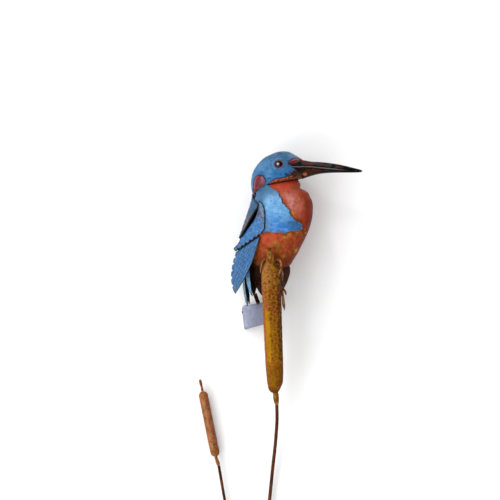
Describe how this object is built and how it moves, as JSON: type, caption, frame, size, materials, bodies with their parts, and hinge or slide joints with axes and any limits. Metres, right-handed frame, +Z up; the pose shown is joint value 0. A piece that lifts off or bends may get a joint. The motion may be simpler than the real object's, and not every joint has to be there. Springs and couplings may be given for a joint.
{
  "type": "painted metal kingfisher wall ornament",
  "caption": "Painted sheet steel kingfisher clinging to a bulrush on a bent bar stem, with a smaller bulrush beside it, hung on a wall by a keyhole plate.",
  "frame": {"origin": "middle of the wall plate's back face, on the wall", "axes": "+X the way the bill points, +Y into the wall, +Z up"},
  "size_m": [0.1637, 0.0664, 0.5358],
  "materials": {
    "blue_paint": "hand-brushed semi-gloss blue over steel",
    "orange_paint": "hand-brushed semi-gloss orange red over steel",
    "maroon_paint": "semi-gloss maroon over steel",
    "black_paint": "gloss black with rust brown patches",
    "brown_patina": "dark brown stained bare steel",
    "reed_paint": "brown and ochre paint over dented steel",
    "stem_paint": "dark red brown lacquered round bar",
    "foot_paint": "yellow brown paint over bent wire",
    "zinc": "zinc plated sheet steel",
    "eye_glass": "glossy black bead"
  },
  "bodies": {
    "root": {"head": "blue_paint", "bill_upper": "black_paint", "bill_lower": "black_paint", "eye_right": "eye_glass", "lores_right": "maroon_paint", "ear_patch_right": "maroon_paint", "shoulder_patch_right": "blue_paint", "wing_coverts_right": "blue_paint", "wing_primaries_right": "blue_paint", "wing_rivet_right": "zinc", "foot_right": "foot_paint", "eye_left": "eye_glass", "lores_left": "maroon_paint", "ear_patch_left": "maroon_paint", "shoulder_patch_left": "blue_paint", "wing_coverts_left": "blue_paint", "wing_primaries_left": "blue_paint", "wing_rivet_left": "zinc", "foot_left": "foot_paint", "body": "orange_paint", "vent": "brown_patina", "mantle": "blue_paint", "tail_feather_1": "blue_paint", "tail_feather_2": "blue_paint", "tail_feather_3": "blue_paint", "tail_feather_4": "blue_paint", "tail_feather_5": "blue_paint", "tail_strap": "brown_patina", "bulrush_head": "reed_paint", "bulrush_spike": "reed_paint", "bulrush_collar": "reed_paint", "stem": "stem_paint", "small_bulrush_head": "reed_paint", "small_bulrush_spike": "reed_paint", "small_bulrush_collar": "reed_paint", "small_stem": "stem_paint", "wall_plate": "zinc", "bracket_arm": "zinc", "foot_plate": "zinc"}
  },
  "joints": []
}
